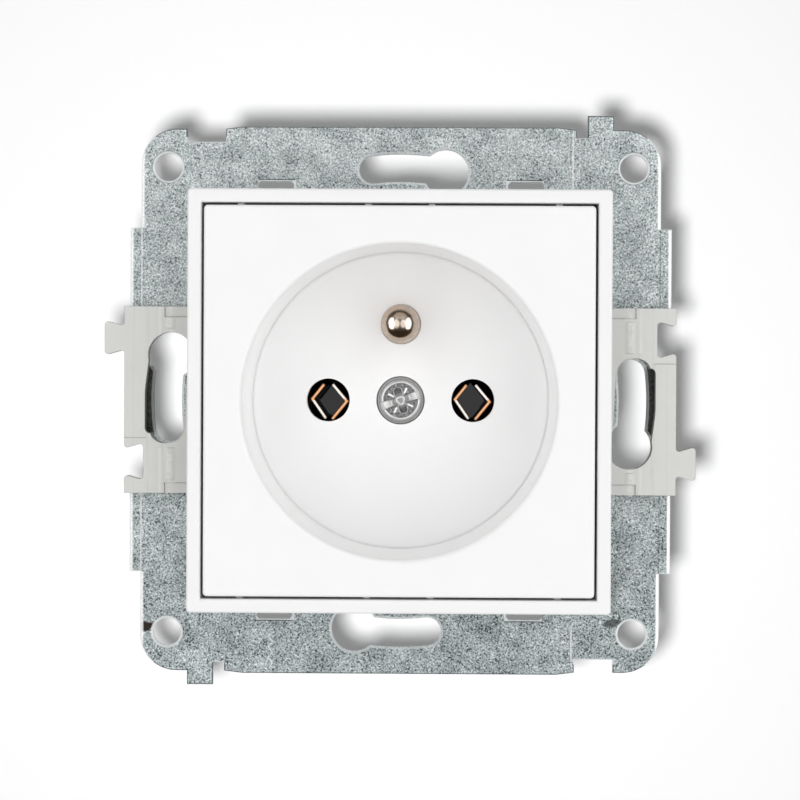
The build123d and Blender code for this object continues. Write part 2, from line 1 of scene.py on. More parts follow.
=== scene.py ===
import json
import bmesh
import bpy
import numpy as np
from mathutils import Matrix, Vector


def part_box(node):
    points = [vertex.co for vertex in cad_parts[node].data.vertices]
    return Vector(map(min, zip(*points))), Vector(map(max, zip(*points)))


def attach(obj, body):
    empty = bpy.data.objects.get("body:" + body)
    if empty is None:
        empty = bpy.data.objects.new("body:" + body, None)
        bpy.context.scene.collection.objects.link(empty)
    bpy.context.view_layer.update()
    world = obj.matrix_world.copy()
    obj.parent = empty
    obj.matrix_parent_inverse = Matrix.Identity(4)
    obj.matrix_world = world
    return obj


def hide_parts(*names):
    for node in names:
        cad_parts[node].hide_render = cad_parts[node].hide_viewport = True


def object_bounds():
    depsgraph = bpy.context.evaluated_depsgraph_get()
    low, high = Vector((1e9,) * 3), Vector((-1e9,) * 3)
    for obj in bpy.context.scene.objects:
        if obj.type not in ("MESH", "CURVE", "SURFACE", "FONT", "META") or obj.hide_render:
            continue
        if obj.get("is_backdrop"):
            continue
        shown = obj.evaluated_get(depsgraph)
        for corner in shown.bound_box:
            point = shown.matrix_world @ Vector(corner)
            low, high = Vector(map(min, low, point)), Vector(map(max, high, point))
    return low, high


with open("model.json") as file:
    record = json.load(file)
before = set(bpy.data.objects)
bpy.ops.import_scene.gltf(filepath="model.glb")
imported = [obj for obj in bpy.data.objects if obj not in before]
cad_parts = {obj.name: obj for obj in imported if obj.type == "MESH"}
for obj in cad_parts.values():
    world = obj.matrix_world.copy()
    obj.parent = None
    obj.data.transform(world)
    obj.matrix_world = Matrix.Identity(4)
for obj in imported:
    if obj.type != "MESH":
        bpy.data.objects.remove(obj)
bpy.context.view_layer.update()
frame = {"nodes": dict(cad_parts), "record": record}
mm = 0.001


# node helpers shared by all finishes; they add to the material that newMaterial started last
current = {}


def newMaterial(name):
    material = bpy.data.materials.new(name)
    current["material"] = material
    material.use_nodes = True
    nodes = material.node_tree.nodes
    nodes.clear()
    out = nodes.new("ShaderNodeOutputMaterial")
    shader = nodes.new("ShaderNodeBsdfPrincipled")
    link(shader.outputs[0], out.inputs[0])
    return material, shader


def addNode(kind, links=None, **values):
    node = current["material"].node_tree.nodes.new(kind)
    for key, value in values.items():
        setattr(node, key, value)
    for socket, source in (links or {}).items():
        link(source, node.inputs[socket])
    return node


def link(source, target):
    current["material"].node_tree.links.new(source, target)


def objectPoint(turn=(0, 0, 0)):
    coords = addNode("ShaderNodeTexCoord")
    mapping = addNode("ShaderNodeMapping", {"Vector": coords.outputs["Object"]})
    mapping.inputs["Rotation"].default_value = turn
    return mapping.outputs[0]


def axes(point):
    node = addNode("ShaderNodeSeparateXYZ", {"Vector": point})
    return node.outputs[0], node.outputs[1], node.outputs[2]


def noise(point, size, detail=2.0, roughness=0.5):
    node = addNode("ShaderNodeTexNoise", {"Vector": point})
    node.inputs["Scale"].default_value = 1 / size
    node.inputs["Detail"].default_value = detail
    node.inputs["Roughness"].default_value = roughness
    return node.outputs["Fac"]


def ramp(source, stops):
    node = addNode("ShaderNodeValToRGB", {"Fac": source})
    points = node.color_ramp.elements
    while len(points) < len(stops):
        points.new(0.5)
    for point, (place, colour) in zip(points, stops):
        point.position = place
        point.color = (*colour, 1)
    return node.outputs["Color"]


def mottle(cloud, low, high, spread=0.2):
    # from one colour to the other across the middle of a cloud
    return ramp(cloud, [(0.5 - spread, low), (0.5 + spread, high)])


def grey(level):
    return (level, level, level)


def maths(operation, first, second=None, clamp=False):
    node = addNode("ShaderNodeMath", operation=operation, use_clamp=clamp)
    for place, value in enumerate((first, second)):
        if value is None:
            continue
        if isinstance(value, (int, float)):
            node.inputs[place].default_value = value
        else:
            link(value, node.inputs[place])
    return node.outputs[0]


def product(first, *others):
    for other in others:
        first = maths("MULTIPLY", first, other)
    return first


def climb(value, start, gain):
    # 0 at the start, then rising by the gain to at most 1; a negative gain rises below the start
    return maths("MULTIPLY", maths("SUBTRACT", value, start), gain, True)


def wobble(cloud, size):
    # a cloud centred on 0, of the given size
    return product(maths("SUBTRACT", cloud, 0.5), size)


def opposite(mask):
    return maths("SUBTRACT", 1.0, mask)


def absolute(value):
    return maths("ABSOLUTE", value)


def above(value, limit):
    return maths("GREATER_THAN", value, limit)


def below(value, limit):
    return maths("LESS_THAN", value, limit)


def mapRange(value, start, end, low=0.0, high=1.0):
    node = addNode("ShaderNodeMapRange", {"Value": value})
    settings = {"From Min": start, "From Max": end, "To Min": low, "To Max": high}
    for name, setting in settings.items():
        node.inputs[name].default_value = setting
    return node.outputs[0]


def band(value, low, high, soft):
    # 1 where the value lies between low and high, with soft ends
    rise = mapRange(value, low - soft, low + soft)
    fall = mapRange(value, high - soft, high + soft, 1.0, 0.0)
    return product(rise, fall)


def boxMask(values, place, half, soft):
    # 1 inside a box of the given middle and half size in millimetres, with soft sides
    mask = 1.0
    for value, middle, reach, edge in zip(values, place, half, soft):
        side = band(value, (middle - reach) * mm, (middle + reach) * mm, edge * mm)
        mask = product(side, mask)
    return mask


def blendColour(mask, first, second, mode="MIX"):
    node = addNode("ShaderNodeMix", data_type="RGBA", blend_type=mode)
    for place, value in ((0, mask), (6, first), (7, second)):
        if isinstance(value, (int, float)):
            node.inputs[place].default_value = value
        elif isinstance(value, tuple):
            node.inputs[place].default_value = (*value, 1)
        else:
            link(value, node.inputs[place])
    return node.outputs[2]


def paint(colour, tone, *masks):
    # lays the tone over the colour where every mask lets it through
    return blendColour(product(*masks), colour, tone)


def relief(shader, height, depth, edge=0.0):
    # fine relief, over edges rounded by the given radius
    node = addNode("ShaderNodeBump", {"Height": height})
    node.inputs["Distance"].default_value = depth
    if edge:
        link(roundedNormal(edge), node.inputs["Normal"])
    link(node.outputs[0], shader.inputs["Normal"])


def roundedNormal(radius):
    node = addNode("ShaderNodeBevel", samples=6)
    node.inputs["Radius"].default_value = radius
    return node.outputs[0]


steelLook = {
    "grains": [
        (0.36, (0.25, 0.29, 0.295)),
        (0.47, (0.41, 0.465, 0.47)),
        (0.54, (0.51, 0.565, 0.57)),
        (0.66, (0.79, 0.83, 0.825)),
    ],
    "grain": 0.21 * mm,
    "grainTurn": (0.5, 0.3, 0.7),
    "fleck": 0.24 * mm,
    "fleckTurn": (0.9, -0.4, 0.2),
    "darkFleck": (0.045, 0.06, 0.065),
    "darkBelow": 0.425,
    "darkGain": 16.0,
    "darkShare": 0.95,
    "brightFleck": (1.0, 1.0, 1.0),
    "brightAbove": 0.62,
    "brightGain": 14.0,
    "brightShare": 0.7,
    "lean": 0.022,
    "leanOver": 36 * mm,
    "cloud": 2.8 * mm,
    "cloudDrift": 0.18,
    "cloudShare": 0.05,
    "front": 0.7 * mm,
    "relief": 0.012 * mm,
    "roughness": (0.3, 0.5),
    "metallic": 0.6,
}
# stamping lines, a wavy scratch and stains: middle and half size in millimetres, turn in degrees
stampLines = [
    {"place": (22.13, 31.0), "half": (0.08, 4.1), "share": 0.75},
    {"place": (21.63, 32.2), "half": (0.07, 2.4), "share": 0.35},
    {"place": (23.0, 31.0), "half": (0.06, 2.6), "share": 0.35},
    {"place": (14.4, 32.4), "half": (1.2, 2.6), "share": 0.12},
    {"place": (5.3, 32.4), "half": (0.08, 2.4), "share": 0.3},
    {"place": (22.2, -31.2), "half": (0.09, 1.9), "share": 0.7},
]
stampSoft = (0.5, 0.6)
scratch = {
    "place": (-16.6, -32.3),
    "half": (0.1, 2.1),
    "soft": (0.05, 0.4),
    "sway": 0.22,
    "wave": 1.4,
    "share": 0.6,
}
stains = [
    {"place": (-32.7, -29.3), "half": (1.15, 0.65), "turn": 10, "tone": (0.025, 0.017, 0.01), "share": 1.0},
    {"place": (27.5, -28.5), "half": (1.2, 0.6), "turn": 12, "tone": (0.04, 0.045, 0.045), "share": 0.85},
    {"place": (27.6, -24.5), "half": (0.45, 3.2), "turn": 0, "tone": (0.15, 0.15, 0.15), "share": 0.3},
]
stainRim = {"ragged": 0.6 * mm, "raggedShare": 1.2, "fade": (1.3, 1.75)}
# painted rim highlights, with painted shade on the long edges and on the strip beside each keyhole
rimLook = {
    "slope": 0.08,
    "gain": 4.0,
    "colour": (0.9, 0.93, 0.93),
    "share": 0.68,
    "shadedLoss": 0.3,
    "longEdgeShade": 33.9 * mm,
    "longEdgeShare": 0.75,
    "strip": (31.2 * mm, 33.0 * mm),
    "stripHeight": (-4.4 * mm, 4.3 * mm),
    "stripSoft": (0.6 * mm, 0.15 * mm),
    "stripTone": (0.09, 0.095, 0.09),
}
# white of the stamping marks and of the painted edge highlights, and the painted highlight and shade of the
# fold lines
edgeLook = {
    "colour": (1.0, 1.0, 1.0),
    "flank": (34.45 * mm, 40 * mm),
    "shoulder": (33.05 * mm, 34 * mm),
    "shoulderHeight": 22.2 * mm,
    "soft": 0.08 * mm,
    "shares": (0.68, 0.95),
    "crease": (33.32 * mm, 33.5 * mm),
    "creaseSoft": 0.03 * mm,
    "lightCrease": (0.95, 0.97, 0.97),
    "darkCrease": (0.1, 0.12, 0.12),
    "creaseShares": (0.6, 0.25),
}
cutoutLook = {
    "window": (13.63 * mm, 18.3 * mm),
    "windowTop": 28.35 * mm,
    "windowReach": 3 * mm,
    "sideWidth": 0.13 * mm,
    "sideShare": 0.75,
    "shadowLid": (0.02 * mm, 0.16 * mm),
    "lidShare": 0.8,
    "windowSoft": (0.03 * mm, 0.1 * mm, 0.04 * mm),
    "hole": (30.0 * mm, 30.0 * mm),
    "ring": (1.0 * mm, 2.0 * mm),
    "ringSoft": 0.06 * mm,
    "ringHighlightShare": 0.7,
    "arc": (2.04 * mm, 2.12 * mm),
    "arcSoft": 0.05 * mm,
    "arcSlope": 0.3,
    "arcShadeTone": (0.1, 0.11, 0.11),
    "arcShare": 0.6,
}


def steelGrain(y):
    # dense dark and bright grains under a soft cloud, a little lighter towards the top
    look = steelLook
    turned = objectPoint(look["grainTurn"])
    fine = noise(turned, look["grain"], 2.0, 0.6)
    cloud = noise(turned, look["cloud"], 4.0, 0.6)
    lean = product(y, look["lean"] / look["leanOver"])
    drift = maths("ADD", wobble(cloud, look["cloudDrift"]), lean)
    colour = ramp(maths("ADD", fine, drift), look["grains"])
    fleck = noise(objectPoint(look["fleckTurn"]), look["fleck"], 2.0, 0.55)
    fleck = maths("ADD", fleck, drift)
    dark = climb(fleck, look["darkBelow"], -look["darkGain"])
    colour = paint(colour, look["darkFleck"], dark, look["darkShare"])
    bright = climb(fleck, look["brightAbove"], look["brightGain"])
    colour = paint(colour, look["brightFleck"], bright, look["brightShare"])
    shade = mottle(cloud, grey(1 - look["cloudShare"]), grey(1 + look["cloudShare"]))
    return blendColour(1.0, colour, shade, "MULTIPLY"), fine, cloud


def steelMarks(colour, x, y, front):
    # tool lines, scratch and stains lie only on the front
    for line in stampLines:
        soft = (min(0.5 * line["half"][0], stampSoft[0]), stampSoft[1])
        mask = boxMask((x, y), line["place"], line["half"], soft)
        colour = paint(colour, edgeLook["colour"], mask, front, line["share"])
    sway = maths("SINE", product(y, 2 * np.pi / (scratch["wave"] * mm)))
    wavy = maths("ADD", x, product(sway, scratch["sway"] * mm))
    mask = boxMask((wavy, y), scratch["place"], scratch["half"], scratch["soft"])
    colour = paint(colour, edgeLook["colour"], mask, front, scratch["share"])
    for stain in stains:
        mask = spotMask(stain["place"], stain["half"], stain["turn"])
        colour = paint(colour, stain["tone"], mask, front, stain["share"])
    return colour


def spotMask(place, half, turn):
    # soft-edged patch with a ragged rim, centred on a Mapping node
    coords = addNode("ShaderNodeTexCoord")
    mapping = addNode("ShaderNodeMapping", {"Vector": coords.outputs["Object"]})
    mapping.vector_type = "TEXTURE"
    mapping.inputs["Location"].default_value = (place[0] * mm, place[1] * mm, 0)
    mapping.inputs["Rotation"].default_value = (0, 0, np.radians(turn))
    mapping.inputs["Scale"].default_value = (half[0] * mm, half[1] * mm, 1)
    length = addNode("ShaderNodeVectorMath", {"Vector": mapping.outputs[0]}, operation="LENGTH")
    ragged = noise(coords.outputs["Object"], stainRim["ragged"], 3.0, 0.6)
    ragged = product(ragged, stainRim["raggedShare"])
    reach = maths("ADD", length.outputs["Value"], ragged)
    return mapRange(reach, *stainRim["fade"], 1.0, 0.0)


def steelRims(colour, x, y, reach, height):
    look = rimLook
    # the strip beside each keyhole lies in the shade of the coupler's wall
    turnedY = product(y, maths("SIGN", x))
    softAcross, softAlong = look["stripSoft"]
    shade = climb(reach, look["strip"][0], 1 / softAcross)
    shade = product(shade, band(turnedY, *look["stripHeight"], softAlong))
    shade = product(shade, below(reach, look["strip"][1]))
    colour = blendColour(shade, colour, look["stripTone"], "MULTIPLY")
    # painted highlight on the punched rims, and painted shade on the long top and bottom edges
    normal = addNode("ShaderNodeNewGeometry").outputs["Normal"]
    slope = opposite(absolute(axes(normal)[2]))
    rim = climb(slope, look["slope"], look["gain"])
    longEdgeShade = above(height, look["longEdgeShade"])
    share = maths("SUBTRACT", look["share"], product(shade, look["shadedLoss"]))
    rimHighlight = product(rim, opposite(longEdgeShade), share)
    colour = paint(colour, look["colour"], rimHighlight)
    colour = paint(colour, steelLook["darkFleck"], rim, longEdgeShade, look["longEdgeShare"])
    return colour, rimHighlight


def steelEdgeHighlights(colour, reach, height, left, front):
    # painted highlight on the rolled side edges, strongest on the right
    look = edgeLook
    flank = band(reach, *look["flank"], look["soft"])
    shoulder = band(reach, *look["shoulder"], look["soft"])
    shoulder = product(shoulder, above(height, look["shoulderHeight"]))
    edge = maths("MAXIMUM", flank, shoulder)
    leftShare, rightShare = look["shares"]
    share = maths("ADD", rightShare, product(left, leftShare - rightShare))
    return paint(colour, look["colour"], edge, front, share)


def steelCreases(colour, reach, height, left):
    # the fold line of each flap takes a painted highlight on the left and a faint painted shade on the right
    look = edgeLook
    crease = band(reach, *look["crease"], look["creaseSoft"])
    crease = product(crease, below(height, look["shoulderHeight"]))
    leftShare, rightShare = look["creaseShares"]
    colour = paint(colour, look["lightCrease"], crease, left, leftShare)
    return paint(colour, look["darkCrease"], crease, opposite(left), rightShare)


def steelCutouts(colour, x, y, reach, height, front):
    look = cutoutLook
    # each leg window has a painted highlight on its sides and a painted shadow along its outer edge
    inner, outer = look["window"]
    top = look["windowTop"]
    thin, wide, lidSoft = look["windowSoft"]
    sideHighlights = band(reach, inner - look["sideWidth"], outer + look["sideWidth"], thin)
    tall = band(height, top - look["windowReach"], top + look["shadowLid"][0], thin)
    colour = paint(colour, rimLook["colour"], sideHighlights, tall, look["sideShare"])
    shadowLid = band(reach, inner, outer, wide)
    lidHeight = band(height, top + look["shadowLid"][0], top + look["shadowLid"][1], lidSoft)
    colour = paint(colour, steelLook["darkFleck"], shadowLid, lidHeight, look["lidShare"])
    # painted highlight in a ring round each corner hole, with a painted shade arc on its outer upper side
    across = maths("SUBTRACT", reach, look["hole"][0])
    along = maths("SUBTRACT", height, look["hole"][1])
    squares = maths("ADD", product(across, across), product(along, along))
    fromHole = maths("POWER", squares, 0.5)
    ring = band(fromHole, *look["ring"], look["ringSoft"])
    colour = paint(colour, rimLook["colour"], ring, front, look["ringHighlightShare"])
    arc = band(fromHole, *look["arc"], look["arcSoft"])
    upper = above(y, product(x, look["arcSlope"]))
    return paint(colour, look["arcShadeTone"], arc, front, upper, look["arcShare"])


def steelFinish():
    look = steelLook
    material, shader = newMaterial("galvanisedSteel")
    x, y, z = axes(objectPoint())
    reach = absolute(x)
    height = absolute(y)
    left = below(x, 0.0)
    front = above(z, look["front"])
    colour, fine, cloud = steelGrain(y)
    colour = steelMarks(colour, x, y, front)
    colour, rimHighlight = steelRims(colour, x, y, reach, height)
    colour = steelCreases(colour, reach, height, left)
    colour = steelCutouts(colour, x, y, reach, height, front)
    colour = steelEdgeHighlights(colour, reach, height, left, front)
    link(colour, shader.inputs["Base Color"])
    # less metal where the rim highlight is painted
    dull = product(rimHighlight, look["metallic"])
    link(maths("SUBTRACT", look["metallic"], dull), shader.inputs["Metallic"])
    link(mapRange(cloud, 0.0, 1.0, *look["roughness"]), shader.inputs["Roughness"])
    relief(shader, fine, look["relief"])
    return material


def startFinish(name):
    return newMaterial(name)[1], objectPoint()


def clouded(point, look):
    # a soft change between two tones
    cloud = noise(point, look["cloud"], look["detail"])
    return mottle(cloud, *look["tones"], look["spread"])


def closeFinish(shader, point, look, colour):
    # feeds in the colour and the look's roughness, metal share, fine grain and rounded edges
    link(colour, shader.inputs["Base Color"])
    shader.inputs["Roughness"].default_value = look["roughness"]
    shader.inputs["Metallic"].default_value = look.get("metallic", 0.0)
    grain = noise(point, look["grain"], look.get("grainDetail", 2.0))
    relief(shader, grain, look["relief"], look.get("edge", 0.0))
    return current["material"]


def plainFinish(name, look):
    shader, point = startFinish(name)
    return closeFinish(shader, point, look, clouded(point, look))


frameLook = {
    "tones": (grey(0.8422), grey(0.855)),
    "cloud": 6 * mm,
    "detail": 2.0,
    "spread": 0.2,
    "roughness": 0.35,
    "grain": 0.12 * mm,
    "relief": 0.004 * mm,
}
platedLook = {
    "tones": (grey(0.48), grey(0.6)),
    "cloud": 0.4 * mm,
    "detail": 3.0,
    "spread": 0.15,
    "metallic": 1.0,
    "roughness": 0.35,
    "grain": 0.15 * mm,
    "relief": 0.004 * mm,
}
# the recess tones are painted lighter than the front's, as painted light
coverLook = {
    **frameLook,
    "tones": (grey(0.94), grey(0.955)),
    "roughness": 0.3,
    "front": (grey(0.875), grey(0.887)),
    "frontFrom": 9.9 * mm,
}


def coverFinish():
    # white, painted lighter inside the round recess than on the front, standing in for the light the recess
    # lacks
    look = coverLook
    shader, point = startFinish("coverPlastic")
    front = above(axes(point)[2], look["frontFrom"])
    dimFront = clouded(point, {**look, "tones": look["front"]})
    colour = paint(clouded(point, look), dimFront, front)
    return closeFinish(shader, point, look, colour)


bronzeLook = {
    "white": (1.0, 0.96, 0.9),
    "bronze": (0.95, 0.5, 0.26),
    "lipShade": (0.16, 0.07, 0.03),
    "leafLines": [((0.4, 2.05), (2.3, -0.2), (0.35, -2.6)), ((-0.75, 2.05), (-2.3, 0.1), (-0.5, -2.5))],
    "coreHalf": 0.235 * mm,
    "coreGain": 1.4,
    "insideShade": (0.04, 0.038, 0.036),
    "body": ((0.465, 0.345, 0.2025), (0.62, 0.46, 0.27)),
    "tarnish": 0.8 * mm,
    "tarnishSpread": 0.15,
    "flankGain": 4 / mm**2,
    "flankWobble": 6.0,
    "lipHeight": (-9.15 * mm, -8.8 * mm),
    "insideHeight": (-25.2 * mm, -9.15 * mm),
    "heightSoft": 0.02 * mm,
    "lipGlow": 0.6,
    "deepGlowTop": -20 * mm,
    "deepGlowShare": 0.04,
    "pinOffset": 9.5 * mm,
    "reach": 3.2 * mm,
    "diamond": (1.95 * mm, 2.5 * mm),
    "diamondMiddle": -0.2 * mm,
    "metallic": 1.0,
    "roughness": 0.48,
    "grain": 0.2 * mm,
    "relief": 0.004 * mm,
    "edge": 0.2 * mm,
}


def insideDiamond(fromPin, y):
    # 1 between the two bent leaves, 0 outside them
    halfAcross, halfAlong = bronzeLook["diamond"]
    across = product(absolute(fromPin), 1 / halfAcross)
    fromMiddle = maths("SUBTRACT", y, bronzeLook["diamondMiddle"])
    along = product(absolute(fromMiddle), 1 / halfAlong)
    return below(maths("ADD", across, along), 1.0)


def leafCore(fromPin, y):
    # 1 on the middle line of each leaf, which bends once, fading to 0 beside it
    look = bronzeLook
    core = 0.0
    for start, bend, end in look["leafLines"]:
        onSide = (above if bend[0] > 0 else below)(fromPin, 0.0)
        for first, last, half in ((start, bend, above), (bend, end, below)):
            along = np.subtract(last, first)
            acrossX, acrossY = (np.array((-along[1], along[0])) / np.hypot(*along)).tolist()
            offset = -(acrossX * first[0] + acrossY * first[1]) * mm
            away = maths("ADD", product(fromPin, acrossX), product(y, acrossY))
            away = absolute(maths("ADD", away, offset))
            line = climb(away, look["coreHalf"], -look["coreGain"] / look["coreHalf"])
            line = product(line, half(y, bend[1] * mm), onSide)
            core = maths("ADD", line, core)
    return core


def bronzeFinish():
    # painted shade darkens the chambers; the lips carry painted highlights, whitest on two of the four
    # flanks
    look = bronzeLook
    shader, point = startFinish("springBronze")
    x, y, z = axes(point)
    tarnish = noise(point, look["tarnish"], 3.0, 0.6)
    body = mottle(tarnish, *look["body"], look["tarnishSpread"])
    pinMiddle = product(maths("SIGN", x), look["pinOffset"])
    fromPin = maths("SUBTRACT", x, pinMiddle)
    near = [below(absolute(value), look["reach"]) for value in (fromPin, y)]
    insideShade = band(z, *look["insideHeight"], look["heightSoft"])
    colour = paint(body, look["insideShade"], insideShade, *near)
    flank = product(fromPin, y, look["flankGain"])
    flank = maths("ADD", flank, wobble(tarnish, look["flankWobble"]), True)
    glow = paint(look["bronze"], look["white"], flank)
    core = leafCore(fromPin, y)
    # painted highlight along the middle of each lip, painted shade beside it
    lipTone = paint(look["lipShade"], glow, core)
    lip = product(band(z, *look["lipHeight"], look["heightSoft"]), *near)
    colour = paint(colour, lipTone, lip)
    # painted light: the lips glow in their highlight tone, and the bottom of each chamber glows faintly
    glint = product(lip, core, look["lipGlow"])
    deep = below(z, look["deepGlowTop"])
    deepGlow = product(insideDiamond(fromPin, y), deep, look["deepGlowShare"])
    link(paint(grey(1.0), lipTone, lip), shader.inputs["Emission Color"])
    link(maths("ADD", glint, deepGlow), shader.inputs["Emission Strength"])
    return closeFinish(shader, point, look, colour)


couplerLook = {
    "base": ((0.608, 0.6128, 0.5887), (0.63, 0.635, 0.61)),
    "cloud": 3 * mm,
    "fold": (30.6 * mm, 31.0 * mm),
    "foldSoft": 0.12 * mm,
    "foldAbove": 6.2 * mm,
    "foldHighlight": (0.8, 0.8, 0.775),
    "foldShare": 0.45,
    "line": (34.16 * mm, 34.24 * mm),
    "lineSoft": 0.03 * mm,
    "lineAbove": 2.3 * mm,
    "lineWave": 1.5 * mm,
    "lineWobble": 0.25 * mm,
    "lineTone": (0.5, 0.5, 0.475),
    "lineShare": 0.4,
    "rib": (29.25 * mm, 29.85 * mm),
    "ribSoft": 0.25 * mm,
    "ribAbove": 7.0 * mm,
    "glint": 0.6 * mm,
    "glintAbove": 0.36,
    "glintGain": 4.0,
    "glintTone": grey(0.97),
    "glintShare": 0.28,
    "outline": (0.13, 0.1, 0.07),
    "outlineSlope": 0.07,
    "outlineGain": 8.0,
    "outlineShare": 0.75,
    "plainField": (28.8 * mm, 30.15 * mm),
    "plainSoft": 0.02 * mm,
    "plainAbove": 6.1 * mm,
    "edge": 0.14 * mm,
    "roughness": 0.42,
    "grain": 0.14 * mm,
    "relief": 0.007 * mm,
}


def couplerFinish():
    # satin grey with a faint moulding line and a painted highlight along the fold beside the pads
    look = couplerLook
    shader, point = startFinish("couplerPlastic")
    x, y, z = axes(point)
    reach = absolute(x)
    height = absolute(y)
    cloud = noise(point, look["cloud"], 4.0, 0.6)
    colour = mottle(cloud, *look["base"])
    fold = band(reach, *look["fold"], look["foldSoft"])
    foldHeight = above(height, look["foldAbove"])
    colour = paint(colour, look["foldHighlight"], fold, foldHeight, look["foldShare"])
    uneven = wobble(noise(point, look["lineWave"]), look["lineWobble"])
    line = band(maths("ADD", reach, uneven), *look["line"], look["lineSoft"])
    onTop = above(z, look["lineAbove"])
    colour = paint(colour, look["lineTone"], line, onTop, look["lineShare"])
    # painted highlight: glints on the ribs above and below the opening
    glint = noise(point, look["glint"], 3.0, 0.7)
    glint = climb(glint, look["glintAbove"], look["glintGain"])
    rib = band(reach, *look["rib"], look["ribSoft"])
    rib = product(rib, above(height, look["ribAbove"]))
    colour = paint(colour, look["glintTone"], rib, glint, look["glintShare"])
    # painted shade: thin brown lines where the edges turn down, but not beside the ribs
    slope = opposite(absolute(axes(roundedNormal(look["edge"]))[2]))
    outline = climb(slope, look["outlineSlope"], look["outlineGain"])
    plain = band(reach, *look["plainField"], look["plainSoft"])
    plain = product(plain, above(height, look["plainAbove"]))
    outline = product(outline, opposite(plain))
    colour = paint(colour, look["outline"], outline, look["outlineShare"])
    return closeFinish(shader, point, look, colour)


pinLook = {
    "tones": ((0.561, 0.4675, 0.391), (0.66, 0.55, 0.46)),
    "cloud": 0.4 * mm,
    "detail": 3.0,
    "spread": 0.15,
    "domeFrom": 8.75 * mm,
    # painted reflection: dark brown low on the dome, brown high on it
    "patches": [
        {"height": (7.0 * mm, 9.0 * mm), "tone": (0.2, 0.11, 0.05), "share": 0.9},
        {"height": (10.6 * mm, 12.6 * mm), "tone": (0.46, 0.33, 0.22), "share": 0.6},
    ],
    "patchSoft": 0.2 * mm,
    "metallic": 1.0,
    "roughness": 0.17,
    "grain": 0.3 * mm,
    "grainDetail": 3.0,
    "relief": 0.012 * mm,
}


def pinFinish():
    # nickel; the lower and upper parts of the dome are painted dark brown and brown, as painted reflection
    look = pinLook
    shader, point = startFinish("nickelPlate")
    y, z = axes(point)[1:]
    colour = clouded(point, look)
    dome = above(z, look["domeFrom"])
    for patch in look["patches"]:
        mask = band(y, *patch["height"], look["patchSoft"])
        colour = paint(colour, patch["tone"], mask, dome, patch["share"])
    return closeFinish(shader, point, look, colour)


baseLook = {
    **frameLook,
    "tones": ((0.034, 0.036, 0.039), (0.036, 0.038, 0.041)),
    "roughness": 0.5,
    "relief": 0.008 * mm,
    "chamber": (-40 * mm, -9.2 * mm),
    "chamberSoft": 0.1 * mm,
    "chamberGlow": 0.035,
}


def baseFinish():
    # black moulding; the bottoms of the two pin chambers glow faintly to a dark grey, as painted light
    look = baseLook
    shader, point = startFinish("basePlastic")
    x, y, z = axes(point)
    fromPin = maths("SUBTRACT", absolute(x), bronzeLook["pinOffset"])
    deep = band(z, *look["chamber"], look["chamberSoft"])
    glow = product(insideDiamond(fromPin, y), deep, look["chamberGlow"])
    shader.inputs["Emission Color"].default_value = (1, 1, 1, 1)
    link(glow, shader.inputs["Emission Strength"])
    return closeFinish(shader, point, look, clouded(point, look))


joinDistance = 1e-6
finishes = {
    "galvanised_steel": steelFinish(),
    "grey_plastic": couplerFinish(),
    "frame_plastic": plainFinish("framePlastic", frameLook),
    "cover_plastic": coverFinish(),
    "base_plastic": baseFinish(),
    "plated_steel": plainFinish("platedSteel", platedLook),
    "nickel_plate": pinFinish(),
    "spring_bronze": bronzeFinish(),
}
for part in frame["record"]["subparts"]:
    node = frame["nodes"][part["node"]]
    node.data.materials.clear()
    node.data.materials.append(finishes[part["material_slot"]])
lipLook = {"width": 0.2 * mm, "segments": 4, "angle": 50}
for name in ("live_contact", "neutral_contact"):
    # rolled lips on the leaves
    leaves = frame["nodes"][name]
    leaves.modifiers.new("joined", "WELD").merge_threshold = joinDistance
    rolled = leaves.modifiers.new("rolledLips", "BEVEL")
    rolled.width = lipLook["width"]
    rolled.segments = lipLook["segments"]
    rolled.limit_method = "ANGLE"
    rolled.angle_limit = np.radians(lipLook["angle"])
    rolled.harden_normals = True
print("finishes done")


pieceLook = {"joinDistance": 1e-7, "sharpAngle": 38}


# new pieces: each patch is a grid of points in millimetres, wrapped round its columns
def gridQuads(rows, columns):
    # corners of each cell; the last column joins the first
    row, here = np.meshgrid(np.arange(rows - 1) * columns, np.arange(columns), indexing="ij")
    after = (here + 1) % columns
    corners = (row + here, row + after, row + columns + after, row + columns + here)
    return np.stack(corners, -1).reshape(-1, 4)


def stepRing(outerStart, outerColumns, innerStart, innerColumns):
    # flat ring between a fine circle and a coarse one: each face takes one coarse side and its fine sides
    ratio = outerColumns // innerColumns
    here = np.arange(innerColumns)[:, None]
    outer = outerStart + (ratio * here + np.arange(ratio + 1)) % outerColumns
    inner = innerStart + np.concatenate(((here + 1) % innerColumns, here), 1)
    return np.concatenate((outer, inner), 1)


def addThing(name, data):
    thing = bpy.data.objects.new(name, data)
    bpy.context.scene.collection.objects.link(thing)
    return thing


